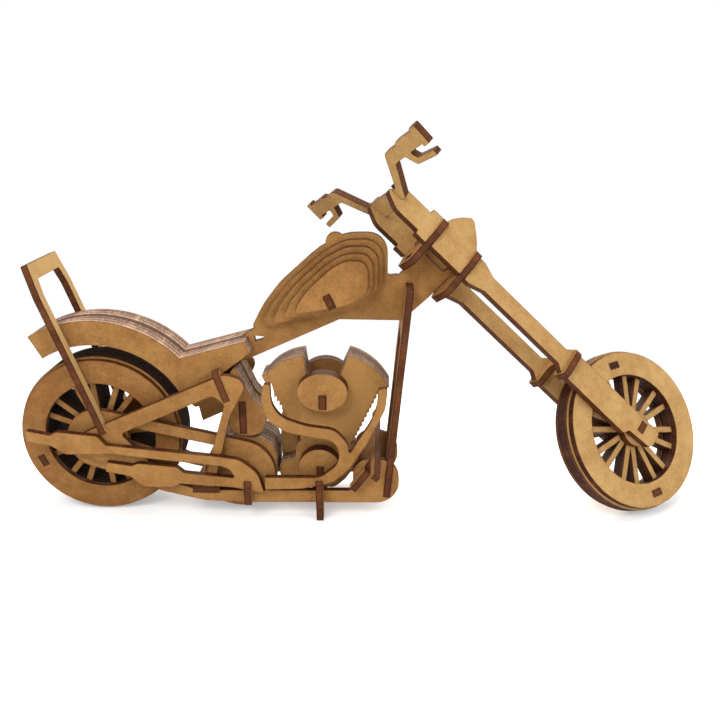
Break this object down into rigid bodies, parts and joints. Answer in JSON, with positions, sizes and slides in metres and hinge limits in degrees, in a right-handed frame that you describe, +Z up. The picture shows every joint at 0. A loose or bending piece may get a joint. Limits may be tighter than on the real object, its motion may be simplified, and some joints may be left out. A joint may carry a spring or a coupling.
{
  "type": "wooden model chopper motorcycle",
  "caption": "Slot-together fibreboard model of a long-fork chopper motorcycle, with turning wheels, swinging fork and handlebar, and a fixed centre stand.",
  "frame": {"origin": "middle of the rear axle, on the model's centre plane", "axes": "+X forward, +Y to the rider's left, +Z up"},
  "size_m": [0.3053, 0.0742, 0.1704],
  "materials": {
    "brown_board": "matt fibreboard with scorched edges",
    "pale_board": "matt fibreboard with scorched edges",
    "charred_board": "matt scorched fibreboard"
  },
  "bodies": {
    "frame": {"spine_frame": "brown_board", "side_frame_right": "brown_board", "side_frame_left": "brown_board", "down_tube_frame": "brown_board", "backrest": "pale_board", "knee_plate": "brown_board", "rear_cross_plate": "brown_board", "front_cross_plate": "brown_board", "centre_stand": "brown_board", "footrest_bar": "brown_board", "seat_right": "brown_board", "seat_left": "brown_board", "tank_right": "brown_board", "tank_left": "brown_board", "tank_peg": "charred_board", "oil_tank_right": "brown_board", "oil_tank_left": "brown_board", "oil_tank_tab": "charred_board", "engine_stack": "brown_board", "air_cleaner_right": "brown_board", "air_cleaner_left": "brown_board", "air_cleaner_peg": "charred_board", "cam_cover_right": "brown_board", "cam_cover_left": "brown_board", "gearbox_stack": "brown_board", "belt_cover": "brown_board", "exhaust_headers": "brown_board", "silencers": "brown_board", "rear_axle": "charred_board"},
    "steering": {"upper_yoke": "brown_board", "lower_yoke": "brown_board", "fork_leg_right": "pale_board", "fork_leg_left": "pale_board", "headlight_right": "pale_board", "headlight_left": "pale_board", "riser_right": "pale_board", "riser_left": "pale_board", "handlebar": "pale_board", "fork_brace": "brown_board", "front_axle": "charred_board"},
    "front_wheel": {"front_ring_right": "pale_board", "front_ring_left": "pale_board", "front_wheel_core": "pale_board", "front_wheel_pegs": "charred_board"},
    "rear_wheel": {"rear_ring_right": "brown_board", "rear_ring_left": "brown_board", "rear_wheel_core": "brown_board", "rear_wheel_pegs": "charred_board"}
  },
  "joints": [
    {"name": "steering_turn", "type": "hinge", "parent": "frame", "child": "steering", "pos_m": [0.1476, 0, 0.078], "axis": [-0.7206, 0, 0.6934], "range_deg": [-82, 2]},
    {"name": "front_wheel_spin", "type": "hinge", "parent": "steering", "child": "front_wheel", "pos_m": [0.23545, 0.00257, -0.00229], "axis": [-0.4457, 0.766, -0.4632], "continuous": true},
    {"name": "rear_wheel_spin", "type": "hinge", "parent": "frame", "child": "rear_wheel", "pos_m": [0, 0, 0], "axis": [0, 1, 0], "continuous": true}
  ]
}
